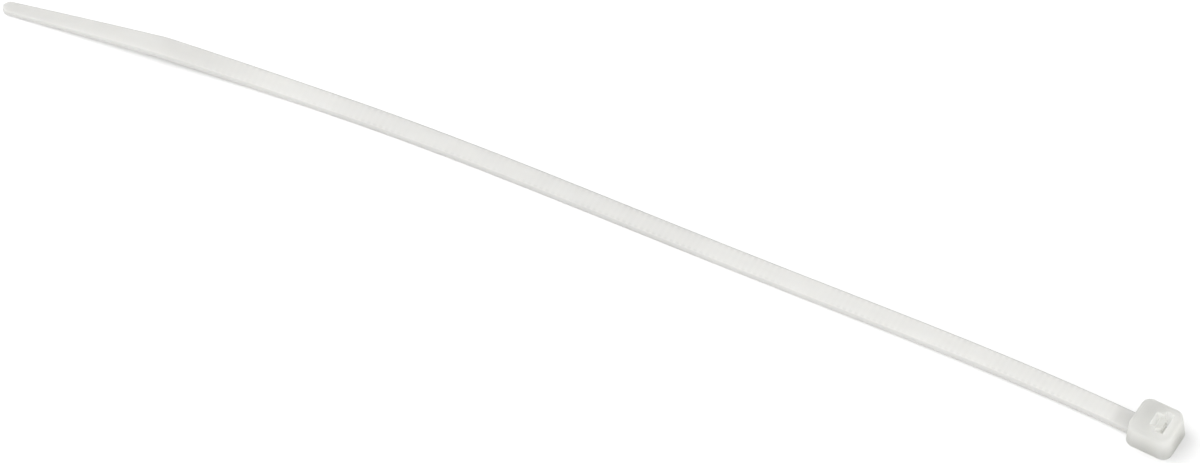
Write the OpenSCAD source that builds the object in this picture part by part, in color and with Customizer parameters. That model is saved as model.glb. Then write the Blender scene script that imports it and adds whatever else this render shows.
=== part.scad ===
// Cable tie, 3.6 mm class, moulded in one piece.
// The strap leaves the inner end of the head, the teeth are on its underside, and
// the tail comes back up through the passage in the head and past the pawl.
// Origin: centre of the passage on the head's entry face.  +X points to the outer
// end of the head, the strap runs toward -X, +Z points to the exit face.

/* [Strap] */

// Length from the outer end of the head to the tip of the tail, along the strap
tie_length = 200; // [150:5:240]
// Width of the strap
strap_width = 3.5; // [2.9:0.1:4.3]
// Thickness of the strap
strap_thickness = 1.0; // [0.8:0.05:1.2]
// Radius of the long edges on the outer face
outer_edge_radius = 0.28; // [0.1:0.02:0.34]
// Bevel of the long edges on the toothed face
inner_edge_bevel = 0.1; // [0.04:0.02:0.16]

/* [Teeth] */

// Distance from one tooth to the next
tooth_pitch = 1.02; // [0.8:0.02:1.3]
// Depth of the notches between the teeth
tooth_depth = 0.4; // [0.3:0.02:0.46]
// Flat left on the tip of each tooth
tooth_flat = 0.16; // [0.08:0.02:0.24]
// Width of the plain rail on each side of the teeth
rail_width = 0.5; // [0.3:0.05:0.6]
// Plain neck between the head and the first tooth
neck_length = 2.2; // [1:0.2:6]

/* [Tail] */

// Length of the plain tapered tail
tail_length = 26.5; // [18:0.5:34]
// Width of the tail beside its rounded tip
tip_width = 2.2; // [1.6:0.1:2.6]
// Thickness of the tail at its tip
tip_thickness = 0.8; // [0.6:0.05:1]

/* [Lie] */

// How far the strap turns sideways over its whole length, degrees
bow_turn = 10; // [0:0.1:14]
// Swing of the gentle sideways wave, degrees
wave_turn = 1.6; // [0:0.05:3]
// Length of one sideways wave
wave_length = 140; // [100:5:220]
// Height of the strap above the resting plane where it leaves the head
root_lift = 0.35; // [0:0.05:1]
// Height of the strap above the resting plane where the tail begins
tail_lift = 1; // [0:0.05:1.5]

/* [Head] */

// Length of the head at its base
head_length = 7.8; // [7:0.1:9.4]
// Width of the head at its base
head_width = 6.9; // [5.8:0.1:8.3]
// Height of the head from the entry face to the exit face
head_height = 4.8; // [4:0.1:5.8]
// How far each end leans in from the base to the top
end_draft = 0.35; // [0:0.05:0.6]
// How far each side leans in from the base to the top
side_draft = 0.08; // [0:0.02:0.3]
// Radius of the upright corners
corner_radius = 1.55; // [1:0.05:2]
// Radius around the top face
top_radius = 0.7; // [0.3:0.05:0.9]
// Bevel around the base
base_bevel = 0.15; // [0.05:0.05:0.3]
// Distance from the centre of the passage to the outer end at the base
outer_reach = 2.45; // [2.2:0.05:2.8]

/* [Passage and pawl] */

// Room left around the thickness of the strap in the passage
passage_play = 0.4; // [0.25:0.05:0.6]
// Room left around the width of the strap in the passage
passage_side_play = 0.5; // [0.3:0.05:0.7]
// Flare of the passage at the entry face
entry_flare = 0.3; // [0:0.05:0.4]
// Thickness of the pawl without its teeth
pawl_thickness = 0.75; // [0.6:0.05:0.9]
// Gap behind the pawl for it to flex into
pawl_gap = 0.5; // [0.45:0.05:0.8]
// Gap on each side of the pawl
pawl_side_gap = 0.15; // [0.1:0.05:0.25]
// How far the pawl leans into the passage, not counting its teeth
pawl_reach = 0.3; // [0.1:0.05:0.4]
// Depth of the pawl teeth
pawl_tooth_depth = 0.34; // [0.2:0.02:0.4]
// Height of the hinge floor above the entry face
hinge_height = 1.2; // [0.8:0.1:1.6]
// Distance of the pawl's top below the exit face
pawl_drop = 0.4; // [0.3:0.1:1]

/* [Part] */

// Piece to draw

/* [Hidden] */

// overlap that makes two solids join, and the overrun of every cutter
join = 0.2;
over = 0.3;

// strap path
root_depth = 1.2;
strap_step = 3;
strap_run = tie_length - head_length;
inner_reach = head_length - outer_reach;
root_draft = end_draft * root_lift / head_height;
root_x = root_draft - inner_reach;
tail_start = strap_run - tail_length;
hold_end = 0.06 * strap_run;
touch_down = 0.385 * strap_run;
lift_off = 0.713 * strap_run;

// tail tip
tip_radius = tip_width / 2;
tip_angle = 84;
tip_steps = 7;

// facets around a long outer edge of the strap
edge_steps = 4;

// teeth
tooth_field = strap_width - 2 * rail_width;
tooth_count = floor((tail_start - neck_length) / tooth_pitch);

// passage and pawl
passage_half = (strap_thickness + passage_play) / 2;
passage_width = strap_width + passage_side_play;
flare_height = 2 * entry_flare;
pawl_slot_width = tooth_field;
pawl_width = pawl_slot_width - 2 * pawl_side_gap;
pawl_front = -passage_half;
pawl_back = pawl_front - pawl_thickness;
cavity_back = pawl_back - pawl_gap;
pawl_top = head_height - pawl_drop;
pawl_foot = hinge_height / 2;
pawl_root = pawl_front + pawl_reach;
pawl_tip = pawl_root + pawl_tooth_depth;
pawl_tooth_count = floor((pawl_top - pawl_foot) / tooth_pitch);

// smooth step from 0 to 1
function ease(q) = q <= 0 ? 0 : q >= 1 ? 1 : q * q * (3 - 2 * q);

// heading of the strap, degrees to the side, at distance d from the head
function heading(d) = d <= 0 ? 0 : bow_turn * d / strap_run + wave_turn * sin(360 * d / wave_length);

// rise of the strap's underside beside the head, and beside the tail
function root_rise(d) = root_lift * (1 - ease((d - hold_end) / (touch_down - hold_end)));
function tail_rise(d) = d <= tail_start
    ? tail_lift * 2 * ease((d - lift_off) / (2 * (tail_start - lift_off)))
    : tail_lift * (strap_run - d) / tail_length;
function rise(d) = root_rise(d) + tail_rise(d);

// share of the tail passed at distance d, width of the strap and its thickness there
function tail_share(d) = max(0, (d - tail_start) / tail_length);
function tip_reach(d) = max(0, d - (strap_run - tip_radius)) / tip_radius;
function width_at(d) = (strap_width + (tip_width - strap_width) * tail_share(d)) * sqrt(1 - pow(tip_reach(d), 2));
function thickness_at(d) = strap_thickness + (tip_thickness - strap_thickness) * tail_share(d);

// distances from the head at which the strap has a section
body_steps = ceil((strap_run - tip_radius) / strap_step);
body_step = (strap_run - tip_radius) / body_steps;
body_marks = [for (i = [0 : body_steps]) i * body_step];
tip_marks = [for (k = [1 : tip_steps]) strap_run - tip_radius * (1 - sin(k * tip_angle / tip_steps))];
marks = concat([-root_depth], body_marks, tip_marks);
last_mark = len(marks) - 1;

// distance from mark i to the next one, and the heading halfway there
function gap_after(i) = marks[min(i + 1, last_mark)] - marks[i];
function turn_after(i) = heading(marks[i] + gap_after(i) / 2);

// path of the strap's underside, found by walking from mark to mark
path = [
    for (i = 0, x = root_x + root_depth, y = 0;
         i <= last_mark;
         x = x - gap_after(i) * cos(turn_after(i)),
         y = y - gap_after(i) * sin(turn_after(i)),
         i = i + 1)
    [x, y, rise(marks[i])]
];

// outline of the strap across its width, w wide and t thick, starting at the toothed face
function section(w, t) = let (
    r = min(outer_edge_radius, w / 3),
    b = min(inner_edge_bevel, w / 4),
    turns = [for (k = [0 : edge_steps]) 90 * k / edge_steps]
) concat(
    [[b - w / 2, 0], [w / 2 - b, 0], [w / 2, b]],
    [for (a = turns) [w / 2 - r * (1 - cos(a)), t - r * (1 - sin(a))]],
    [for (a = turns) [r * (1 - sin(a)) - w / 2, t - r * (1 - cos(a))]],
    [[-w / 2, b]]
);

// the same outline stood up at mark i
function placed_section(i) = let (turn = heading(marks[i])) [
    for (p = section(width_at(marks[i]), thickness_at(marks[i])))
        [path[i][0] - p[0] * sin(turn), path[i][1] + p[0] * cos(turn), path[i][2] + p[1]]
];

ring_size = len(section(strap_width, strap_thickness));

// point on the underside, its heading and its slope at distance d from the head
function mark_index(d, i = 0) = i >= last_mark - 1 || marks[i + 1] > d ? i : mark_index(d, i + 1);
function point_at(d) = let (i = mark_index(d), f = (d - marks[i]) / gap_after(i)) path[i] * (1 - f) + path[i + 1] * f;
function slope_at(d) = let (i = mark_index(d)) atan2(path[i + 1][2] - path[i][2], gap_after(i));

// a profile in the XZ plane drawn out to the given width across Y
module across(width) {
    rotate([90, 0, 0])
        translate([0, 0, -width / 2])
            linear_extrude(height = width)
                children();
}

// the plain strap with its rounded edges, tapered tail and rounded tip
module plain_strap() {
    points = [for (i = [0 : last_mark]) each placed_section(i)];
    near_cap = [[for (k = [0 : ring_size - 1]) ring_size - 1 - k]];
    far_cap = [[for (k = [0 : ring_size - 1]) last_mark * ring_size + k]];
    lower_sides = [
        for (i = [0 : last_mark - 1], k = [0 : ring_size - 1])
            [i * ring_size + k, i * ring_size + (k + 1) % ring_size, (i + 1) * ring_size + k]
    ];
    upper_sides = [
        for (i = [0 : last_mark - 1], k = [0 : ring_size - 1])
            [i * ring_size + (k + 1) % ring_size, (i + 1) * ring_size + (k + 1) % ring_size, (i + 1) * ring_size + k]
    ];
    polyhedron(points = points, faces = concat(near_cap, far_cap, lower_sides, upper_sides));
}

// one notch: it deepens toward the tail and ends in the steep face of the next tooth
module notch() {
    across(tooth_field)
        polygon([
            [0, -join],
            [0, 0],
            [tooth_flat - tooth_pitch, tooth_depth],
            [tooth_flat - tooth_pitch, -join]
        ]);
}

// the row of notches along the underside
module notches() {
    for (i = [0 : tooth_count - 1]) {
        d = neck_length + i * tooth_pitch;
        translate(point_at(d))
            rotate([0, 0, heading(d)])
                rotate([0, slope_at(d), 0])
                    notch();
    }
}

// the strap with its teeth
module strap() {
    difference() {
        plain_strap();
        notches();
    }
}

// a round corner post of the head, leaning in toward the top
module corner_post(side_x, side_y) {
    base_x = side_x > 0 ? outer_reach - corner_radius : corner_radius - inner_reach;
    base_y = side_y * (head_width / 2 - corner_radius);
    translate([base_x, base_y, 0])
        cylinder(h = base_bevel, r1 = corner_radius - base_bevel, r2 = corner_radius, $fn = 32);
    translate([base_x - side_x * end_draft, base_y - side_y * side_draft, head_height - top_radius])
        rotate_extrude($fn = 32)
            translate([corner_radius - top_radius, 0])
                intersection() {
                    circle(r = top_radius, $fn = 32);
                    square(top_radius);
                }
}

// the solid block of the head
module head_block() {
    hull() {
        corner_post(1, 1);
        corner_post(1, -1);
        corner_post(-1, 1);
        corner_post(-1, -1);
    }
}

// the way the strap goes through the head, flared at the entry face
module passage() {
    across(passage_width)
        polygon([
            [-passage_half - entry_flare, -over],
            [-passage_half - entry_flare, 0],
            [-passage_half, flare_height],
            [-passage_half, head_height + over],
            [passage_half, head_height + over],
            [passage_half, flare_height],
            [passage_half + entry_flare, 0],
            [passage_half + entry_flare, -over]
        ]);
}

// the well the pawl stands in, open to the exit face
module pawl_well() {
    translate([cavity_back, -pawl_slot_width / 2, hinge_height])
        cube([pawl_front - cavity_back + join, pawl_slot_width, head_height]);
}

// the pawl: hinged at its foot on the strap side, teeth toward the outer end
module pawl() {
    front_teeth = [
        for (k = [0 : pawl_tooth_count - 1])
            each [
                [pawl_root, pawl_top - k * tooth_pitch],
                [pawl_tip, pawl_top - k * tooth_pitch],
                [pawl_tip, pawl_top - k * tooth_pitch - tooth_flat]
            ]
    ];
    across(pawl_width)
        polygon(concat(
            front_teeth,
            [
                [pawl_root, pawl_top - pawl_tooth_count * tooth_pitch],
                [pawl_front, pawl_foot],
                [pawl_back - join, pawl_foot],
                [pawl_back - join, hinge_height],
                [pawl_back, hinge_height + join],
                [pawl_back + pawl_reach, pawl_top]
            ]
        ));
}

// the whole tie, one moulding
module cable_tie() {
    color([0.93, 0.93, 0.9]) {
        difference() {
            union() {
                head_block();
                strap();
            }
            passage();
            pawl_well();
        }
        pawl();
    }
}

cable_tie();
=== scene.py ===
"""The looks of a nylon cable tie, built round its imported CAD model.

The tie is one moulding: a head with a passage and a pawl, a strap with a row of
teeth between two plain rails, and a tapered tail.  Lengths in the classes are in
millimetres in the part's own frame; meshes are made in metres.
"""

import logging
import math
from dataclasses import dataclass, field
from enum import Enum
from typing import Iterable, Sequence

import bmesh
import bpy
import numpy as np
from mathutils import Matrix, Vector

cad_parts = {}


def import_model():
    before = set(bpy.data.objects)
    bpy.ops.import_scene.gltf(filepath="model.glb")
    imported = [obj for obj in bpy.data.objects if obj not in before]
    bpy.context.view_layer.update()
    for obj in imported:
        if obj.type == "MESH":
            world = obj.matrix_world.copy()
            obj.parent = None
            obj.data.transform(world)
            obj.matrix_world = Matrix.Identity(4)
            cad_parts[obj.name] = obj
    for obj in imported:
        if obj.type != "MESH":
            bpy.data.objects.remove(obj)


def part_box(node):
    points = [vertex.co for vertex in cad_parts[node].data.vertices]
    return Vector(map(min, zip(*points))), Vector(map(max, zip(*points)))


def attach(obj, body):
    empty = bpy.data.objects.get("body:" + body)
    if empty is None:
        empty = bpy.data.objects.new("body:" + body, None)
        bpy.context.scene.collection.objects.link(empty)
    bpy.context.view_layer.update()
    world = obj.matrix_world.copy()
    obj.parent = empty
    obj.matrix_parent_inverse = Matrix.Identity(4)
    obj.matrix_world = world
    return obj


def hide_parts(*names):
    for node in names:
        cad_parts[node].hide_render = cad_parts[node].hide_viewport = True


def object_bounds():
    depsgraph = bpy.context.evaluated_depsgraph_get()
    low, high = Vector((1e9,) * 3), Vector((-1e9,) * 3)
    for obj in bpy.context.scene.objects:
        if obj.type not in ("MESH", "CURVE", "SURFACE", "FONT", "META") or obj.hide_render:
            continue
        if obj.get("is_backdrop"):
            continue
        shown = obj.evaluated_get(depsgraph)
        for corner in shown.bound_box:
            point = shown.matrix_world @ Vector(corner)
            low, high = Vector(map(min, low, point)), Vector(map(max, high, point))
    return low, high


logging.basicConfig(level=logging.INFO, format="%(message)s")
LOG = logging.getLogger("cable_tie")

MM = 0.001
CAD_NODE = "cable_tie"
BODY = "root"

Point = tuple[float, float, float]
Ring = list[Point]


class Combine(Enum):
    """How one solid is combined with another."""

    JOIN = "UNION"
    CUT = "DIFFERENCE"


def ease(share: float) -> float:
    """Smooth step from 0 to 1 over a share of 0 to 1."""
    held = min(1.0, max(0.0, share))
    return held * held * (3.0 - 2.0 * held)


def link(name: str, mesh: bpy.types.Mesh) -> bpy.types.Object:
    """Puts a mesh into the scene as a new object.

    Args:
        name: name of the object and of its mesh.
        mesh: the mesh to show.

    Returns:
        The linked object.
    """
    mesh.name = name
    made = bpy.data.objects.new(name, mesh)
    bpy.context.scene.collection.objects.link(made)
    return made


def lofted(name: str, rings: Sequence[Ring]) -> bpy.types.Object:
    """Skins a closed solid over rings of equal length, in millimetres.

    Args:
        name: name of the new object.
        rings: the rings in order; each is closed on itself.

    Returns:
        The new object, with its faces turned outward.
    """
    size = len(rings[0])
    points = np.array(rings, float).reshape(-1, 3) * MM
    faces: list[tuple[int, ...]] = []
    for row in range(len(rings) - 1):
        here, there = row * size, (row + 1) * size
        for k in range(size):
            after = (k + 1) % size
            faces.append((here + k, there + k, there + after, here + after))
    faces.append(tuple(range(size)))
    faces.append(tuple(range(len(points) - 1, len(points) - size - 1, -1)))
    mesh = bpy.data.meshes.new(name)
    mesh.from_pydata(points.tolist(), [], faces)
    shell = bmesh.new()
    shell.from_mesh(mesh)
    bmesh.ops.recalc_face_normals(shell, faces=shell.faces)
    shell.to_mesh(mesh)
    shell.free()
    return link(name, mesh)


def drawn_across(name: str, outline: Sequence[tuple[float, float]], width: float) -> bpy.types.Object:
    """Draws an outline in the XZ plane out to a width across Y.

    Args:
        name: name of the new object.
        outline: corners of the outline in millimetres, as (x, z).
        width: full width across Y in millimetres.

    Returns:
        The new solid.
    """
    near = [(x, -width / 2, z) for x, z in outline]
    far = [(x, width / 2, z) for x, z in outline]
    return lofted(name, [near, far])


def combine(target: bpy.types.Object, tool: bpy.types.Object, how: Combine) -> None:
    """Joins a tool to a solid or cuts it out of it, and removes the tool."""
    step = target.modifiers.new("combine", "BOOLEAN")
    step.operation = how.value
    step.solver = "EXACT"
    step.object = tool
    bake_modifiers(target)
    bpy.data.objects.remove(tool)


def bake_modifiers(piece: bpy.types.Object) -> None:
    """Replaces a piece's mesh with what its modifiers make of it."""
    bpy.context.view_layer.update()
    graph = bpy.context.evaluated_depsgraph_get()
    made = bpy.data.meshes.new_from_object(piece.evaluated_get(graph))
    piece.modifiers.clear()
    piece.data = made


@dataclass
class StrapPath:
    """The line along which the loose strap lies, found by walking from the head.

    Attributes:
        root_x: x of the head's inner end at the strap.
        run: length of the strap from the head to its tip.
        tail: length of the tapered tail.
        bow_turn: sideways turn of the strap over its whole run, degrees.
        wave_turn: swing of the sideways wave, degrees.
        wave_length: length of one sideways wave.
        root_lift: height of the underside at the head.
        tail_lift: height of the underside where the tail begins.
        hold_share: share of the run over which the strap keeps its height at the head.
        touch_share: share of the run at which the strap comes down on the table.
        leave_share: share of the run at which the strap leaves the table again.
        step: length of one step of the walk.
        rounds: how often a point's place on the path is refined.
        table: rows of distance, x and y along the path.
    """

    root_x: float
    run: float = 192.19
    tail: float = 26.5
    bow_turn: float = 10.0
    wave_turn: float = 1.6
    wave_length: float = 140.0
    root_lift: float = 0.35
    tail_lift: float = 1.0
    hold_share: float = 0.06
    touch_share: float = 0.385
    leave_share: float = 0.713
    step: float = 0.25
    rounds: int = 3
    table: np.ndarray = field(init=False)

    def __post_init__(self) -> None:
        """Walks the path once and keeps it as rows of distance, x and y."""
        count = int(round(self.run / self.step))
        marks = np.linspace(0.0, self.run, count + 1)
        middle = (marks[1:] + marks[:-1]) / 2
        turn = np.radians([self.heading(d) for d in middle])
        gap = np.diff(marks)
        x = self.root_x - np.concatenate([[0.0], np.cumsum(gap * np.cos(turn))])
        y = -np.concatenate([[0.0], np.cumsum(gap * np.sin(turn))])
        self.table = np.stack([marks, x, y])

    @property
    def tail_start(self) -> float:
        """Distance from the head at which the tail begins."""
        return self.run - self.tail

    def heading(self, d: float) -> float:
        """Sideways heading in degrees at distance d from the head."""
        if d <= 0:
            return 0.0
        wave = self.wave_turn * math.sin(2 * math.pi * d / self.wave_length)
        return self.bow_turn * d / self.run + wave

    def rise(self, d: float) -> float:
        """Height of the strap's underside at distance d from the head."""
        hold, touch, leave = (
            share * self.run for share in (self.hold_share, self.touch_share, self.leave_share)
        )
        root = self.root_lift * (1 - ease((d - hold) / (touch - hold)))
        if d <= self.tail_start:
            return root + self.tail_lift * 2 * ease((d - leave) / (2 * (self.tail_start - leave)))
        return root + self.tail_lift * (self.run - d) / self.tail

    def locate(self, points: np.ndarray) -> tuple[np.ndarray, np.ndarray]:
        """Finds where points lie on the path.

        Args:
            points: rows of x, y and z in millimetres.

        Returns:
            Their distances along the path and their offsets across it.
        """
        along = np.interp(-points[:, 0], -self.table[1], self.table[0])
        along = np.where(points[:, 0] > self.root_x, self.root_x - points[:, 0], along)
        for _ in range(self.rounds):
            on_path = np.maximum(along, 0.0)
            turn = np.radians(self.bow_turn * on_path / self.run)
            turn += np.radians(self.wave_turn) * np.sin(2 * math.pi * on_path / self.wave_length)
            x = np.interp(on_path, self.table[0], self.table[1]) - np.minimum(along, 0.0)
            y = np.interp(on_path, self.table[0], self.table[2])
            aside_x, aside_y = points[:, 0] - x, points[:, 1] - y
            along = along - aside_x * np.cos(turn) - aside_y * np.sin(turn)
            offset = -aside_x * np.sin(turn) + aside_y * np.cos(turn)
        return along, offset

    def place(self, d: float, across: float, up: float) -> Point:
        """Point of the strap at distance d, moved sideways and up from its underside.

        Args:
            d: distance from the head along the strap.
            across: offset to the +Y side.
            up: height above the underside.

        Returns:
            The point in the part's frame, in millimetres.
        """
        x = float(np.interp(d, self.table[0], self.table[1])) - min(d, 0.0)
        y = float(np.interp(d, self.table[0], self.table[2]))
        turn = math.radians(self.heading(d))
        return (x - across * math.sin(turn), y + across * math.cos(turn), self.rise(d) + up)


@dataclass
class Teeth:
    """The row of teeth on the strap's underside.

    Attributes:
        pitch: distance from one tooth to the next.
        depth: depth of the notches.
        flat: flat on the tip of a tooth.
        neck: plain length before the first notch.
        ease_in: length over which tips and notch roots are rounded.
        crest: depth where a tip's rounding ends, in the ramp's fall over one ease_in.
        brink: run of a tooth's steep side along the strap, as a share of ease_in.
    """

    pitch: float = 1.02
    depth: float = 0.4
    flat: float = 0.16
    neck: float = 2.2
    ease_in: float = 0.035
    crest: float = 1.2
    brink: float = 0.25

    def stations(self, end: float) -> Iterable[tuple[float, float]]:
        """Distances and notch depths that draw the whole row, up to the distance end."""
        count = int((end - self.neck) / self.pitch)
        ramp = self.pitch - self.flat
        soft = self.ease_in
        for i in range(count):
            start = self.neck + i * self.pitch
            yield start, 0.0
            yield start + 2 * soft, self.depth * self.crest * soft / ramp
            yield start + ramp / 2, self.depth * 0.5
            yield start + ramp - 2 * soft, self.depth - soft / 2
            yield start + ramp - soft / 2, self.depth
            yield start + ramp, self.depth - soft / 2
            yield start + ramp + soft * self.brink, soft
            yield start + ramp + soft, 0.0


@dataclass
class Strap:
    """The strap with its rails, teeth, rounded edges, tapered tail and round tip.

    Attributes:
        path: the line it lies along.
        teeth: the row of teeth on its underside.
        width: full width of the strap.
        thickness: thickness of the strap over its teeth.
        edge_radius: rounding of the upper edges.
        under_bevel: bevel of the lower edges.
        rail: width of the plain rail at each side.
        rail_draft: half of the width that the slope of the rail's inner side takes up.
        rail_ease: depth over which that slope turns into the rail's face.
        sink: how far the middle of the top lies below its edges.
        tip_width: width of the tail at its end.
        tip_thickness: thickness of the tail at its end.
        root_depth: how far the strap reaches into the head.
        flare: radius of the swell where the strap meets the head.
        flare_steps: sections over the swell.
        edge_steps: steps round each upper edge.
        tip_steps: sections over the tip.
        tip_turn: how far round its curve the tip is drawn, degrees.
        neck_step: distance between sections on the neck.
        neck_gap: distance from the swell to the first of them; half is kept to the teeth.
        plain_step: distance between sections on the tail.
        most_bevel: most that the lower bevel may be, as a share of the width.
        most_round: most that the rounding may be, as shares of width and thickness.
        bevel_turn: share of the bevel at which its middle point lies.
        sink_aside: share of the sink reached half way to the edge.
    """

    path: StrapPath
    teeth: Teeth
    width: float = 3.5
    thickness: float = 1.0
    edge_radius: float = 0.28
    under_bevel: float = 0.1
    rail: float = 0.5
    rail_draft: float = 0.06
    rail_ease: float = 0.04
    sink: float = 0.012
    tip_width: float = 2.2
    tip_thickness: float = 0.8
    root_depth: float = 1.2
    flare: float = 0.14
    flare_steps: int = 6
    edge_steps: int = 6
    tip_steps: int = 12
    tip_turn: float = 82.0
    neck_step: float = 0.5
    neck_gap: float = 0.2
    plain_step: float = 1.0
    most_bevel: float = 0.1
    most_round: tuple[float, float] = (1 / 3, 0.4)
    bevel_turn: float = 0.3
    sink_aside: float = 0.7

    @property
    def tip_radius(self) -> float:
        """Radius of the rounded tip, seen from above."""
        return self.tip_width / 2

    def width_at(self, d: float) -> float:
        """Width of the strap at distance d."""
        share = max(0.0, (d - self.path.tail_start) / self.path.tail)
        reach = max(0.0, d - (self.path.run - self.tip_radius)) / self.tip_radius
        tapered = self.width + (self.tip_width - self.width) * share
        return tapered * math.sqrt(max(0.0, 1 - reach * reach)) + 2 * self.flare_at(d)

    def thickness_at(self, d: float) -> float:
        """Thickness of the strap at distance d."""
        share = max(0.0, (d - self.path.tail_start) / self.path.tail)
        return self.thickness + (self.tip_thickness - self.thickness) * share

    def flare_at(self, d: float) -> float:
        """How far the strap swells beside the head at distance d."""
        if d >= self.flare:
            return 0.0
        reach = 1 - max(0.0, d) / self.flare
        return self.flare * (1 - math.sqrt(max(0.0, 1 - reach * reach)))

    def stations(self) -> list[tuple[float, float]]:
        """All distances with the notch depth at each, from inside the head to the tip."""
        found = [(-self.root_depth, 0.0)]
        found += [(self.flare * k / self.flare_steps, 0.0) for k in range(self.flare_steps + 1)]
        plain = self.flare + self.neck_gap
        while plain < self.teeth.neck - self.neck_gap / 2:
            found.append((plain, 0.0))
            plain += self.neck_step
        found += list(self.teeth.stations(self.path.tail_start))
        last = found[-1][0]
        end = self.path.run - self.tip_radius
        count = math.ceil((end - last) / self.plain_step)
        found += [(last + (end - last) * k / count, 0.0) for k in range(1, count + 1)]
        for k in range(1, self.tip_steps + 1):
            turn = math.radians(self.tip_turn * k / self.tip_steps)
            found.append((end + self.tip_radius * math.sin(turn), 0.0))
        return found

    def section(self, d: float, notch: float) -> list[tuple[float, float]]:
        """Outline across the strap at distance d, as (across, up).

        Args:
            d: distance from the head.
            notch: depth of the notch there.

        Returns:
            The outline, once round, beginning on the underside.
        """
        swell = self.flare_at(d)
        w, t = self.width_at(d), self.thickness_at(d)
        bevel = min(self.under_bevel, w * self.most_bevel)
        round_ = min(self.edge_radius, w * self.most_round[0], t * self.most_round[1])
        turn_in = bevel * self.bevel_turn
        inner = w / 2 - self.rail * w / self.width
        draft = self.rail_draft * w / self.width
        quarter = [math.pi / 2 * k / self.edge_steps for k in range(self.edge_steps + 1)]
        half = [
            (inner / 2, notch),
            (inner - draft, notch),
            (inner, min(notch, self.rail_ease) / 2),
            (inner + draft, 0.0),
            (w / 2 - bevel, 0.0),
            (w / 2 - turn_in, turn_in),
            (w / 2, bevel),
            (w / 2, (bevel + t - round_) / 2),
        ]
        half += [(w / 2 - round_ * (1 - math.cos(a)), t - round_ * (1 - math.sin(a))) for a in quarter]
        half += [(w / 4 - round_ / 2, t - self.sink * self.sink_aside)]
        under, over = (0.0, notch), (0.0, t - self.sink)
        right = [under, *half, over]
        left = [(-a, u) for a, u in reversed(half)]
        return [(a, u - swell * (1 if u < t / 2 else -1)) for a, u in right + left]

    def build(self) -> bpy.types.Object:
        """Makes the strap as one closed solid.

        Returns:
            The strap's object.
        """
        rings = []
        for d, notch in self.stations():
            rings.append([self.path.place(d, a, u) for a, u in self.section(d, notch)])
        made = lofted("strap", rings)
        LOG.info("strap: %d sections, %d faces", len(rings), len(made.data.polygons))
        return made


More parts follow.
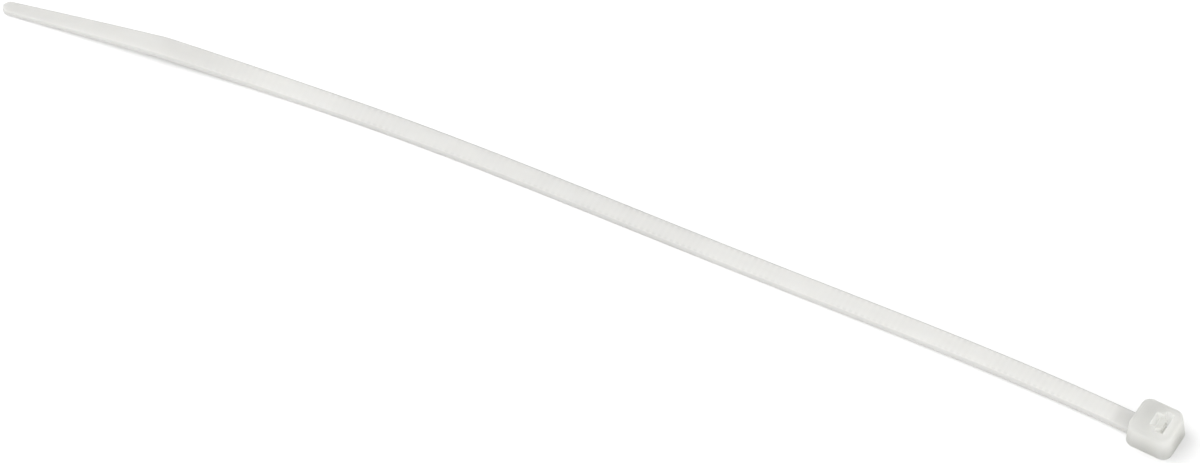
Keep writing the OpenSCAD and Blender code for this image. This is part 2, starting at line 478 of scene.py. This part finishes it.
@dataclass
class Head:
    """The head: a drafted block with rounded corners, a passage and a pawl.

    Attributes:
        length: length of the head at its base, along X.
        width: width of the head at its base.
        height: height of the head.
        outer_reach: how far the head stands out beyond the middle of the passage.
        end_draft: how far each end leans in over the height.
        side_draft: how far each side leans in over the height.
        corner: radius of the upright corners.
        top_round: rounding of the top edge.
        base_bevel: rounding of the edge at the base.
        passage_half: half of the passage, along X.
        passage_width: the passage, across Y.
        flare: how far each side of the entry is flared.
        flare_height: height of the flare.
        well_width: width of the well round the pawl.
        pawl_gap: room behind the pawl.
        pawl_thickness: thickness of the pawl's body.
        pawl_width: width of the pawl across Y.
        pawl_reach: how far the pawl leans into the passage.
        pawl_tooth: depth of the pawl's teeth.
        pawl_drop: how far the pawl's top lies below the head's.
        hinge: height at which the pawl leaves the head's body.
        rim: rounding of the rims of all openings.
        rim_steps: steps of that rounding.
        rim_angle: sharpest turn that stays without a rim, degrees.
        corner_steps: steps round each upright corner.
        base_steps: steps round the edge at the base.
        round_steps: steps round the top edge.
        overrun: how far cutters stand out of the block.
        overlap: how far solids reach into each other where they join.
    """

    length: float = 7.8
    width: float = 6.9
    height: float = 4.8
    outer_reach: float = 2.45
    end_draft: float = 0.35
    side_draft: float = 0.08
    corner: float = 1.55
    top_round: float = 0.7
    base_bevel: float = 0.15
    passage_half: float = 0.7
    passage_width: float = 4.0
    flare: float = 0.3
    flare_height: float = 0.6
    well_width: float = 2.5
    pawl_gap: float = 0.5
    pawl_thickness: float = 0.75
    pawl_width: float = 2.2
    pawl_reach: float = 0.3
    pawl_tooth: float = 0.34
    pawl_drop: float = 0.4
    hinge: float = 1.2
    rim: float = 0.07
    rim_steps: int = 4
    rim_angle: float = 38.0
    corner_steps: int = 12
    base_steps: int = 3
    round_steps: int = 8
    overrun: float = 0.3
    overlap: float = 0.2

    def inner_x(self, height: float) -> float:
        """Where the inner end of the head stands at a height."""
        return self.outer_reach - self.length + self.end_draft * height / self.height

    def level(self, z: float, inset: float, draft: float) -> Ring:
        """One level of the block: a rounded rectangle.

        Args:
            z: height of the level.
            inset: how far it is drawn in all round.
            draft: share of the full draft reached there.

        Returns:
            The ring of points.
        """
        radius = self.corner - inset
        east = self.outer_reach - self.end_draft * draft - self.corner
        west = self.corner + self.end_draft * draft - (self.length - self.outer_reach)
        north = self.width / 2 - self.side_draft * draft - self.corner
        ring: Ring = []
        corners = ((east, north), (west, north), (west, -north), (east, -north))
        for quarter, (cx, cy) in enumerate(corners):
            for k in range(self.corner_steps + 1):
                a = math.pi / 2 * (quarter + k / self.corner_steps)
                ring.append((cx + radius * math.cos(a), cy + radius * math.sin(a), z))
        return ring

    def block(self) -> bpy.types.Object:
        """The solid block without its openings."""
        rings = []
        bevel = self.base_bevel
        for k in range(self.base_steps + 1):
            a = math.pi / 2 * k / self.base_steps
            rings.append(self.level(bevel * (1 - math.cos(a)), bevel * (1 - math.sin(a)), 0.0))
        shoulder = self.height - self.top_round
        for k in range(self.round_steps + 1):
            a = math.pi / 2 * k / self.round_steps
            rise, inset = self.top_round * math.sin(a), self.top_round * (1 - math.cos(a))
            rings.append(self.level(shoulder + rise, inset, 1.0))
        return lofted("head", rings)

    def passage(self) -> bpy.types.Object:
        """The cutter for the way of the strap, flared at the entry face."""
        wide, half, over = self.passage_half + self.flare, self.passage_half, self.overrun
        outline = [(-wide, -over), (-wide, 0.0), (-half, self.flare_height), (-half, self.height + over)]
        outline += [(half, self.height + over), (half, self.flare_height), (wide, 0.0), (wide, -over)]
        return drawn_across("passage", outline, self.passage_width)

    def well(self) -> bpy.types.Object:
        """The cutter for the well behind and beside the pawl."""
        back = -self.passage_half - self.pawl_thickness - self.pawl_gap
        front = -self.passage_half + self.overlap
        top = self.height + self.overrun
        outline = [(back, self.hinge), (back, top), (front, top), (front, self.hinge)]
        return drawn_across("well", outline, self.well_width)

    def pawl(self, pitch: float, flat: float) -> bpy.types.Object:
        """The pawl with its teeth toward the outer end.

        Args:
            pitch: distance between its teeth.
            flat: flat on each tooth.

        Returns:
            The pawl as a solid that overlaps the head at its foot.
        """
        front = -self.passage_half
        root = front + self.pawl_reach
        back = front - self.pawl_thickness
        top = self.height - self.pawl_drop
        foot = self.hinge / 2
        count = int((top - foot) / pitch)
        outline: list[tuple[float, float]] = []
        for k in range(count):
            z = top - k * pitch
            outline += [(root, z), (root + self.pawl_tooth, z), (root + self.pawl_tooth, z - flat)]
        outline += [(root, top - count * pitch), (front, foot), (back - self.overlap, foot)]
        outline += [(back - self.overlap, self.hinge), (back, self.hinge + self.overlap)]
        outline += [(back + self.pawl_reach, top)]
        return drawn_across("pawl", outline, self.pawl_width)

    def build(self, teeth: Teeth) -> bpy.types.Object:
        """Makes the head with its openings and pawl, all rims eased.

        Args:
            teeth: the strap's teeth, which the pawl matches.

        Returns:
            The head's object.
        """
        made = self.block()
        combine(made, self.passage(), Combine.CUT)
        combine(made, self.well(), Combine.CUT)
        combine(made, self.pawl(teeth.pitch, teeth.flat), Combine.JOIN)
        rim = made.modifiers.new("rim", "BEVEL")
        rim.width = self.rim * MM
        rim.segments = self.rim_steps
        rim.limit_method = "ANGLE"
        rim.angle_limit = math.radians(self.rim_angle)
        bake_modifiers(made)
        LOG.info("head: %d faces", len(made.data.polygons))
        return made


class Mark(Enum):
    """Names of the values kept at each point of the mesh for the finish, with its painted shade and
    painted light.
    """

    ALONG = "along"
    ACROSS = "across"
    EDGE = "edge"
    TOOTHED = "toothed"
    BLOCK = "block"
    INSIDE = "inside"


@dataclass(frozen=True)
class Layer:
    """One layer of cloudy noise, and the span of it that is read.

    Attributes:
        scale: waves a unit of the place.
        detail: layers of finer noise.
        rough: strength of the finer layers.
        low: start of the span.
        high: end of the span.
    """

    scale: float
    detail: float
    rough: float = 0.5
    low: float = 0.0
    high: float = 1.0


class NodeTree:
    """A short hand for building a material's nodes."""

    def __init__(self, name: str) -> None:
        """Starts a material with its shader and nothing linked to it."""
        self.material = bpy.data.materials.new(name)
        self.material.use_nodes = True
        self.tree = self.material.node_tree
        self.shader = self.tree.nodes["Principled BSDF"]

    def add(self, kind: str, **settings: object) -> bpy.types.Node:
        """Adds a node and sets its properties."""
        node = self.tree.nodes.new(kind)
        for name, value in settings.items():
            setattr(node, name, value)
        return node

    def feed(self, socket: bpy.types.NodeSocket, source: object) -> None:
        """Links a socket to another, or sets its value."""
        if isinstance(source, bpy.types.NodeSocket):
            self.tree.links.new(source, socket)
        else:
            socket.default_value = source

    def mark(self, mark: Mark) -> bpy.types.NodeSocket:
        """The value kept at each point under a mark."""
        return self.add("ShaderNodeAttribute", attribute_name=mark.value).outputs["Fac"]

    def math(self, operation: str, *sources: object) -> bpy.types.NodeSocket:
        """Works out one value from others.

        Args:
            operation: name of the operation.
            sources: sockets or numbers, in order.

        Returns:
            The result.
        """
        node = self.add("ShaderNodeMath", operation=operation)
        for k, source in enumerate(sources):
            self.feed(node.inputs[k], source)
        return node.outputs[0]

    def ramp(
        self, source: object, low: float, high: float, to_low: float, to_high: float
    ) -> bpy.types.NodeSocket:
        """Maps a value smoothly from one range to another.

        Args:
            source: the value.
            low: start of the range it is read over.
            high: end of the range it is read over.
            to_low: result at the start.
            to_high: result at the end.

        Returns:
            The mapped value.
        """
        node = self.add("ShaderNodeMapRange", interpolation_type="SMOOTHSTEP")
        for k, value in enumerate((source, low, high, to_low, to_high)):
            self.feed(node.inputs[k], value)
        return node.outputs[0]

    def noise(self, vector: object, layer: Layer) -> bpy.types.NodeSocket:
        """Cloudy noise between 0 and 1 over a place.

        Args:
            vector: the place it is read at.
            layer: the noise to read.

        Returns:
            The noise's value.
        """
        node = self.add("ShaderNodeTexNoise")
        self.feed(node.inputs["Vector"], vector)
        node.inputs["Scale"].default_value = layer.scale
        node.inputs["Detail"].default_value = layer.detail
        node.inputs["Roughness"].default_value = layer.rough
        return node.outputs["Fac"]

    def spread(
        self, vector: object, layer: Layer, to_low: float, to_high: float
    ) -> bpy.types.NodeSocket:
        """Noise whose span is mapped smoothly to a range of its own.

        Args:
            vector: the place it is read at.
            layer: the noise to read.
            to_low: result at the start of the span.
            to_high: result at its end.

        Returns:
            The mapped value.
        """
        return self.ramp(self.noise(vector, layer), layer.low, layer.high, to_low, to_high)

    def blend(self, share: object, first: object, second: object) -> bpy.types.NodeSocket:
        """Mixes two colours by a share."""
        node = self.add("ShaderNodeMix", data_type="RGBA")
        colour = [socket for socket in node.inputs if socket.type == "RGBA"]
        self.feed(node.inputs[0], share)
        self.feed(colour[0], first)
        self.feed(colour[1], second)
        return next(socket for socket in node.outputs if socket.type == "RGBA")

    def bump(self, height: object, depth: float, below: object = None) -> bpy.types.NodeSocket:
        """Turns a height into relief.

        Args:
            height: the height, 0 to 1.
            depth: what a height of 1 stands for, in metres.
            below: relief that this one lies on.

        Returns:
            The normal.
        """
        node = self.add("ShaderNodeBump")
        node.inputs["Distance"].default_value = depth
        self.feed(node.inputs["Height"], height)
        if below is not None:
            self.feed(node.inputs["Normal"], below)
        return node.outputs["Normal"]


@dataclass(frozen=True)
class NaturalNylon:
    """Undyed moulded nylon: milky, so that light passes, with a satin skin, painted shade and painted
    light.

    Attributes:
        face: colour of the skin on the flats.
        edge: darker colour of the painted shade on the edges, over the teeth and where there are no
            teeth.
        cloud: colour of the faint clouds in the material.
        block: lighter colour on the head, painted light that brightens the head over the strap.
        inside: lighter colour on the walls of the head's openings, painted light for the light that
            gathers there.
        milk: colour of the light that passes through.
        milk_edge: colour of the light that passes through where the painted shade lies.
        milk_inside: colour of the light that passes through the inner walls.
        passing: share of the light that passes through, in the strap and in the head.
        plain: share of the painted shade where there are no teeth, in the strap and in the head.
        scatter: weight of the light scattered under the skin.
        scatter_tint: how far each colour of that light reaches.
        scatter_depth: reach of the scattered light, in metres.
        ior: how strongly the skin bends light.
        satin: roughness of the skin, smoothest and roughest.
        edge_share: share of the painted shade along the edges.
        tooth_share: share of the painted shade where a tooth shows through.
        tooth_span: where a tooth's shade begins and ends to fade, in pitches.
        rail_span: where across the strap the teeth's shade grows.
        rail_share: share of the teeth's shade in the middle of the strap and at its edges.
        patches: weakest and strongest showing of the teeth along the strap.
        patch_layer: noise by which the teeth show more or less.
        cloud_layer: noise of the faint clouds.
        satin_layer: noise of the skin's roughness.
        grain_layer: noise of the mould's fine grain.
        grain_depth: depth of the grain, in metres.
        flow_layer: noise of the flow lines.
        flow_stretch: how closely the flow lines lie along and across the strap.
        flow_depth: depth of the flow lines, in metres.
    """

    face: tuple[float, float, float] = (0.83, 0.825, 0.807)
    # painted shade: darker colour on the edges, over the teeth and where there are no teeth
    edge: tuple[float, float, float] = (0.3, 0.3, 0.29)
    cloud: tuple[float, float, float] = (0.81, 0.805, 0.788)
    # painted light: lighter colour on the head
    block: tuple[float, float, float] = (0.87, 0.87, 0.845)
    # painted light on the walls of the head's openings
    inside: tuple[float, float, float] = (0.9, 0.9, 0.88)
    milk: tuple[float, float, float] = (0.992, 0.992, 0.975)
    # passing light where the painted shade lies
    milk_edge: tuple[float, float, float] = (0.5, 0.5, 0.49)
    milk_inside: tuple[float, float, float] = (0.92, 0.92, 0.905)
    passing: tuple[float, float] = (0.42, 0.86)
    # painted shade where there are no teeth
    plain: tuple[float, float] = (0.19, 0.17)
    scatter: float = 0.3
    scatter_tint: tuple[float, float, float] = (1.0, 0.95, 0.85)
    scatter_depth: float = 0.0011
    ior: float = 1.53
    satin: tuple[float, float] = (0.38, 0.52)
    # share of the painted shade on the edges
    edge_share: float = 1.0
    # painted shade over the teeth
    tooth_share: float = 0.14
    tooth_span: tuple[float, float] = (0.12, 0.42)
    rail_span: tuple[float, float] = (0.5, 0.85)
    rail_share: tuple[float, float] = (0.15, 1.0)
    patches: tuple[float, float] = (0.3, 1.1)
    patch_layer: Layer = Layer(130.0, 2.0, low=0.35, high=0.65)
    cloud_layer: Layer = Layer(420.0, 3.0, 0.55, 0.35, 0.7)
    satin_layer: Layer = Layer(966.0, 4.0, 0.6, 0.3, 0.75)
    grain_layer: Layer = Layer(6500.0, 2.0)
    grain_depth: float = 0.000012
    flow_layer: Layer = Layer(1.6, 3.0)
    flow_stretch: tuple[float, float] = (0.12, 2.4)
    flow_depth: float = 0.00002

    def dress(self, piece: bpy.types.Object, teeth: Teeth) -> None:
        """Gives the finish, with its painted shade and painted light, to the tie.

        Args:
            piece: the tie, with its marks.
            teeth: the teeth whose painted shade shows through the strap.
        """
        tree = NodeTree("natural_nylon")
        place = tree.add("ShaderNodeTexCoord").outputs["Object"]
        along, across = tree.mark(Mark.ALONG), tree.mark(Mark.ACROSS)
        painted_shade = self.painted_shade_share(tree, teeth, place, along, across)
        relief = self.relief(tree, place, along, across)
        self.skin(tree, place, painted_shade, relief)
        milk = self.passing_light(tree, painted_shade, relief)
        both = tree.add("ShaderNodeMixShader")
        tree.feed(both.inputs[0], tree.ramp(tree.mark(Mark.BLOCK), 0.0, 1.0, *self.passing))
        tree.feed(both.inputs[1], tree.shader.outputs[0])
        tree.feed(both.inputs[2], milk)
        tree.feed(tree.tree.nodes["Material Output"].inputs["Surface"], both.outputs[0])
        piece.data.materials.clear()
        piece.data.materials.append(tree.material)

    def skin(
        self,
        tree: NodeTree,
        place: bpy.types.NodeSocket,
        painted_shade: bpy.types.NodeSocket,
        relief: bpy.types.NodeSocket,
    ) -> None:
        """Sets up the satin skin with its clouds, its painted shade and its painted light.

        Args:
            tree: the tree being built.
            place: place in the part's frame.
            painted_shade: share of the painted shade.
            relief: the normal.
        """
        shader = tree.shader
        shader.inputs["IOR"].default_value = self.ior
        shader.inputs["Subsurface Weight"].default_value = self.scatter
        shader.inputs["Subsurface Radius"].default_value = self.scatter_tint
        shader.inputs["Subsurface Scale"].default_value = self.scatter_depth
        cloud = tree.spread(place, self.cloud_layer, 0.0, 1.0)
        tone = tree.blend(cloud, (*self.face, 1.0), (*self.cloud, 1.0))
        # painted light: lighter colour on the head
        tone = tree.blend(tree.mark(Mark.BLOCK), tone, (*self.block, 1.0))
        # painted shade: darker colour on the edges, over the teeth and where there are no teeth
        tone = tree.blend(painted_shade, tone, (*self.edge, 1.0))
        # painted light on the walls of the head's openings
        tone = tree.blend(tree.mark(Mark.INSIDE), tone, (*self.inside, 1.0))
        tree.feed(shader.inputs["Base Color"], tone)
        tree.feed(shader.inputs["Roughness"], tree.spread(place, self.satin_layer, *self.satin))
        tree.feed(shader.inputs["Normal"], relief)

    def passing_light(
        self, tree: NodeTree, painted_shade: bpy.types.NodeSocket, relief: bpy.types.NodeSocket
    ) -> bpy.types.NodeSocket:
        """Sets up the light that passes through the material, darker where the painted shade lies.

        Args:
            tree: the tree being built.
            painted_shade: share of the painted shade.
            relief: the normal.

        Returns:
            The shader of that light.
        """
        milk = tree.add("ShaderNodeBsdfTranslucent")
        # passing light darker where the painted shade lies
        glow = tree.blend(painted_shade, (*self.milk, 1.0), (*self.milk_edge, 1.0))
        glow = tree.blend(tree.mark(Mark.INSIDE), glow, (*self.milk_inside, 1.0))
        tree.feed(milk.inputs["Color"], glow)
        tree.feed(milk.inputs["Normal"], relief)
        return milk.outputs[0]

    def painted_shade_share(
        self,
        tree: NodeTree,
        teeth: Teeth,
        place: bpy.types.NodeSocket,
        along: bpy.types.NodeSocket,
        across: bpy.types.NodeSocket,
    ) -> bpy.types.NodeSocket:
        """Share of the painted shade at edges, over teeth and where there are none.

        Args:
            tree: the tree being built.
            teeth: the row of teeth.
            place: place in the part's frame.
            along: distance from the head in millimetres.
            across: offset across the strap, 1 at its edge.

        Returns:
            The share, 0 to 1.
        """
        # painted shade where there are no teeth, in the head and on the plain strap
        plain = tree.ramp(tree.mark(Mark.BLOCK), 0.0, 1.0, *self.plain)
        plain = tree.math("MULTIPLY", plain, tree.ramp(tree.mark(Mark.TOOTHED), 0.0, 1.0, 1.0, 0.0))
        flat = tree.math("ADD", self.shadowed_teeth(tree, teeth, place, along, across), plain)
        # painted shade on the edges, or over the teeth and where there are none, whichever is more
        return tree.math("MAXIMUM", tree.math("MULTIPLY", tree.mark(Mark.EDGE), self.edge_share), flat)

    def shadowed_teeth(
        self,
        tree: NodeTree,
        teeth: Teeth,
        place: bpy.types.NodeSocket,
        along: bpy.types.NodeSocket,
        across: bpy.types.NodeSocket,
    ) -> bpy.types.NodeSocket:
        """Share of the painted shade where the thick of a tooth shows through.

        Args:
            tree: the tree being built.
            teeth: the row of teeth.
            place: place in the part's frame.
            along: distance from the head in millimetres.
            across: offset across the strap, 1 at its edge.

        Returns:
            The share, 0 to 1.
        """
        pitches = tree.math("DIVIDE", tree.math("SUBTRACT", along, teeth.neck), teeth.pitch)
        thick = tree.math("PINGPONG", tree.math("FRACT", pitches), 0.5)
        shown = tree.ramp(thick, *self.tooth_span, self.tooth_share, 0.0)
        aside = tree.math("ABSOLUTE", across)
        near_rail = tree.ramp(aside, *self.rail_span, *self.rail_share)
        patches = tree.spread(place, self.patch_layer, *self.patches)
        shown = tree.math("MULTIPLY", tree.math("MULTIPLY", shown, near_rail), patches)
        return tree.math("MULTIPLY", shown, tree.mark(Mark.TOOTHED))

    def relief(
        self,
        tree: NodeTree,
        place: bpy.types.NodeSocket,
        along: bpy.types.NodeSocket,
        across: bpy.types.NodeSocket,
    ) -> bpy.types.NodeSocket:
        """Flow lines along the strap and the fine grain of the mould.

        Args:
            tree: the tree being built.
            place: place in the part's frame.
            along: distance from the head in millimetres.
            across: offset across the strap, 1 at its edge.

        Returns:
            The normal.
        """
        lines = tree.add("ShaderNodeCombineXYZ")
        tree.feed(lines.inputs["X"], tree.math("MULTIPLY", along, self.flow_stretch[0]))
        tree.feed(lines.inputs["Y"], tree.math("MULTIPLY", across, self.flow_stretch[1]))
        flow = tree.bump(tree.noise(lines.outputs[0], self.flow_layer), self.flow_depth)
        return tree.bump(tree.noise(place, self.grain_layer), self.grain_depth, flow)


@dataclass
class CableTie:
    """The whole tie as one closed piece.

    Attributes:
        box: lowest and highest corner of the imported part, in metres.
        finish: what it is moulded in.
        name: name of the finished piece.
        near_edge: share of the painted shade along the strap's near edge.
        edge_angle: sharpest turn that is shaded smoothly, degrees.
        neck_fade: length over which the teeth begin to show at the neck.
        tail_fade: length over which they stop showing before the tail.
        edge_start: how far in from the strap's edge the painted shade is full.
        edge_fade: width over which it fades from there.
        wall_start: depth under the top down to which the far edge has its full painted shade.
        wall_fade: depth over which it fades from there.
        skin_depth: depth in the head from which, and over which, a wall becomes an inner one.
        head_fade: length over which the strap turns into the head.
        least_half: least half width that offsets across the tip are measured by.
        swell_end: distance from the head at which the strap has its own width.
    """

    box: tuple[Vector, Vector]
    finish: NaturalNylon = field(default_factory=NaturalNylon)
    name: str = "nylon_tie"
    near_edge: float = 0.28
    edge_angle: float = 26.0
    neck_fade: float = 1.6
    tail_fade: float = 22.0
    edge_start: float = 0.1
    edge_fade: float = 0.16
    wall_start: float = 0.28
    wall_fade: float = 0.3
    skin_depth: float = 0.14
    head_fade: float = 0.04
    least_half: float = 0.3
    swell_end: float = 0.2

    def build(self) -> bpy.types.Object:
        """Makes, joins, marks, dresses and places the tie.

        Returns:
            The finished piece.
        """
        teeth = Teeth()
        head = Head(
            outer_reach=self.box[1][0] / MM, width=2 * self.box[1][1] / MM, height=self.box[1][2] / MM
        )
        path = StrapPath(root_x=head.inner_x(StrapPath.root_lift))
        strap = Strap(path, teeth)
        tie = head.build(teeth)
        combine(tie, strap.build(), Combine.JOIN)
        tie.name = tie.data.name = self.name
        tie.data.shade_smooth()
        tie.data.set_sharp_from_angle(angle=math.radians(self.edge_angle))
        self.mark_points(tie.data, strap, head)
        self.finish.dress(tie, teeth)
        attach(tie, BODY)
        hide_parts(CAD_NODE)
        LOG.info("%s: %d points, %d faces", self.name, len(tie.data.vertices), len(tie.data.polygons))
        return tie

    def mark_points(self, mesh: bpy.types.Mesh, strap: Strap, head: Head) -> None:
        """Keeps at each point where it lies on the tie, with the masks of its painted shade and painted
        light.

        Args:
            mesh: the tie's mesh.
            strap: the strap that the places are measured on.
            head: the head, whose openings are found by their depth in it.
        """
        flat = np.empty(len(mesh.vertices) * 3)
        mesh.vertices.foreach_get("co", flat)
        points = flat.reshape(-1, 3) / MM
        along, offset = strap.path.locate(points)
        half = np.array([strap.width_at(max(self.swell_end, d)) / 2 for d in along])
        in_head = 1.0 - np.clip((along + self.head_fade / 2) / self.head_fade, 0.0, 1.0)
        field_of_teeth = np.clip((along - strap.teeth.neck) / self.neck_fade, 0.0, 1.0)
        field_of_teeth *= np.clip((strap.path.tail_start - along) / self.tail_fade, 0.0, 1.0)
        kept = {
            Mark.ALONG: along,
            Mark.ACROSS: np.clip(offset / np.maximum(half, self.least_half), -1.0, 1.0),
            # painted shade along the strap's edges
            Mark.EDGE: self.edge_marks(points, strap, along, offset, half) * (1.0 - in_head),
            Mark.TOOTHED: field_of_teeth,
            Mark.BLOCK: in_head,
            # painted light on the walls of the head's openings
            Mark.INSIDE: self.inner_marks(points, head) * in_head,
        }
        for mark, values in kept.items():
            mesh.attributes.new(mark.value, "FLOAT", "POINT").data.foreach_set("value", values)

    def edge_marks(
        self, points: np.ndarray, strap: Strap, along: np.ndarray, offset: np.ndarray, half: np.ndarray
    ) -> np.ndarray:
        """How much painted shade each point gets along the strap's rounded edges, most on the far edge.

        Args:
            points: the points in millimetres.
            strap: the strap that they are measured on.
            along: distance of each point from the head.
            offset: offset of each point from the strap's middle.
            half: half width of the strap at each point.

        Returns:
            The share of each point, 0 to 1.
        """
        margin = half - np.abs(offset)
        edge = 1.0 - np.clip((margin - self.edge_start) / self.edge_fade, 0.0, 1.0)
        top = np.array([strap.path.rise(d) + strap.thickness_at(d) for d in along])
        rounding = 1.0 - np.clip((top - points[:, 2] - self.wall_start) / self.wall_fade, 0.0, 1.0)
        # painted shade: full on the far edge's rounding, a smaller share on the near edge
        return edge * np.where(offset > 0, rounding, self.near_edge)

    def inner_marks(self, points: np.ndarray, head: Head) -> np.ndarray:
        """How much each point belongs to the walls of the head's openings, which carry painted light.

        Args:
            points: the points in millimetres.
            head: the head, in which their depth is measured.

        Returns:
            The share of each point, 0 to 1.
        """
        level, side = head.height - points[:, 2], head.width / 2 - np.abs(points[:, 1])
        ends = np.minimum(head.outer_reach - points[:, 0], points[:, 0] + head.length - head.outer_reach)
        deep = np.minimum(np.minimum(level, side), np.minimum(ends, points[:, 2]))
        return np.clip((deep - self.skin_depth) / self.skin_depth, 0.0, 1.0)


@dataclass
class Studio:
    """The white table, the soft light and the camera.

    Attributes:
        box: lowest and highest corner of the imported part, in metres.
        azimuth: how far the camera stands round to the right, degrees.
        elevation: how high it looks down from, degrees.
        view_width: width seen at the tie, in millimetres.
        aim: middle of the view on the table from the middle of the box.
        lens: focal length, in millimetres.
        sensor: width of the sensor, in millimetres.
        clip: nearest and farthest that the camera sees, in metres.
        table_half: half of the table's side, in metres.
        table_white: lightness of the table.
        table_rough: roughness of the table.
        surround: strength of the light on the bright side and on the dim side.
        dim_side: the way in which the surroundings grow dimmer.
        key_place: the lamp's place from the middle of the tie, in metres.
        key_side: side of the square lamp, in metres.
        key_power: power of the lamp, in watts.
    """

    box: tuple[Vector, Vector]
    azimuth: float = 29.69
    elevation: float = 54.78
    view_width: float = 185.44
    aim: tuple[float, float] = (2.41, -1.09)
    lens: float = 600.0
    sensor: float = 36.0
    clip: tuple[float, float] = (0.1, 200.0)
    table_half: float = 3.0
    table_white: float = 0.86
    table_rough: float = 0.9
    surround: tuple[float, float] = (1.5, 0.62)
    dim_side: Point = (-0.3, 0.9, 0.0)
    key_place: Point = (-0.74, -0.04, 0.95)
    key_side: float = 0.9
    key_power: float = 6.3

    def middle(self) -> Vector:
        """Middle of the part on the table, in metres."""
        low, high = self.box
        return Vector(((low[0] + high[0]) / 2, (low[1] + high[1]) / 2, 0.0))

    def camera(self) -> None:
        """Sets up the camera."""
        turn, tilt = math.radians(self.azimuth), math.radians(self.elevation)
        back = Vector((math.sin(turn) * math.cos(tilt), -math.cos(turn) * math.cos(tilt), math.sin(tilt)))
        data = bpy.data.cameras.new("camera")
        data.lens, data.sensor_width = self.lens, self.sensor
        data.clip_start, data.clip_end = self.clip
        made = bpy.data.objects.new("camera", data)
        away = self.view_width / self.sensor * self.lens * MM
        made.location = self.middle() + Vector((*self.aim, 0.0)) * MM + back * away
        made.rotation_euler = (math.pi / 2 - tilt, 0.0, turn)
        bpy.context.scene.collection.objects.link(made)
        bpy.context.scene.camera = made
        LOG.info("camera: %.2f m away", away)

    def table(self) -> None:
        """Lays the pale table."""
        half = self.table_half
        mesh = bpy.data.meshes.new("table")
        corners = [(-half, -half, 0.0), (half, -half, 0.0), (half, half, 0.0), (-half, half, 0.0)]
        mesh.from_pydata(corners, [], [(0, 1, 2, 3)])
        made = link("table", mesh)
        made.location = self.middle()
        tree = NodeTree("white_card")
        white = self.table_white
        tree.shader.inputs["Base Color"].default_value = (white, white, white, 1.0)
        tree.shader.inputs["Roughness"].default_value = self.table_rough
        tree.shader.inputs["Specular IOR Level"].default_value = 0.0
        mesh.materials.append(tree.material)
        made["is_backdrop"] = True

    def lamp(self) -> None:
        """Hangs the soft lamp up on the left, turned to the middle of the tie."""
        data = bpy.data.lights.new("soft_lamp", "AREA")
        data.shape, data.size, data.energy = "SQUARE", self.key_side, self.key_power
        made = bpy.data.objects.new("soft_lamp", data)
        made.location = self.middle() + Vector(self.key_place)
        made.rotation_euler = (-Vector(self.key_place)).to_track_quat("-Z", "Y").to_euler()
        bpy.context.scene.collection.objects.link(made)

    def surroundings(self) -> None:
        """Lights the tie from all round with plain white, dimmer on the far side."""
        world = bpy.data.worlds.new("white_tent")
        world.use_nodes = True
        tree = world.node_tree
        glow = tree.nodes["Background"]
        glow.inputs["Color"].default_value = (1.0, 1.0, 1.0, 1.0)
        way = tree.nodes.new("ShaderNodeTexCoord")
        facing = tree.nodes.new("ShaderNodeVectorMath")
        facing.operation = "DOT_PRODUCT"
        facing.inputs[1].default_value = self.dim_side
        level = tree.nodes.new("ShaderNodeMapRange")
        level.inputs["From Min"].default_value = -1.0
        level.inputs["To Min"].default_value, level.inputs["To Max"].default_value = self.surround
        tree.links.new(way.outputs["Generated"], facing.inputs[0])
        tree.links.new(facing.outputs["Value"], level.inputs["Value"])
        tree.links.new(level.outputs["Result"], glow.inputs["Strength"])
        bpy.context.scene.world = world
        bpy.context.scene.view_settings.view_transform = "Standard"

    def build(self) -> None:
        """Sets up the table, the lamp, the surroundings and the camera."""
        self.table()
        self.lamp()
        self.surroundings()
        self.camera()
        LOG.info("studio: ready")


def main() -> None:
    """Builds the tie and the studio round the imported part."""
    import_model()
    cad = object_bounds()
    CableTie(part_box(CAD_NODE)).build()
    Studio(cad).build()


if __name__ == "__main__":
    main()
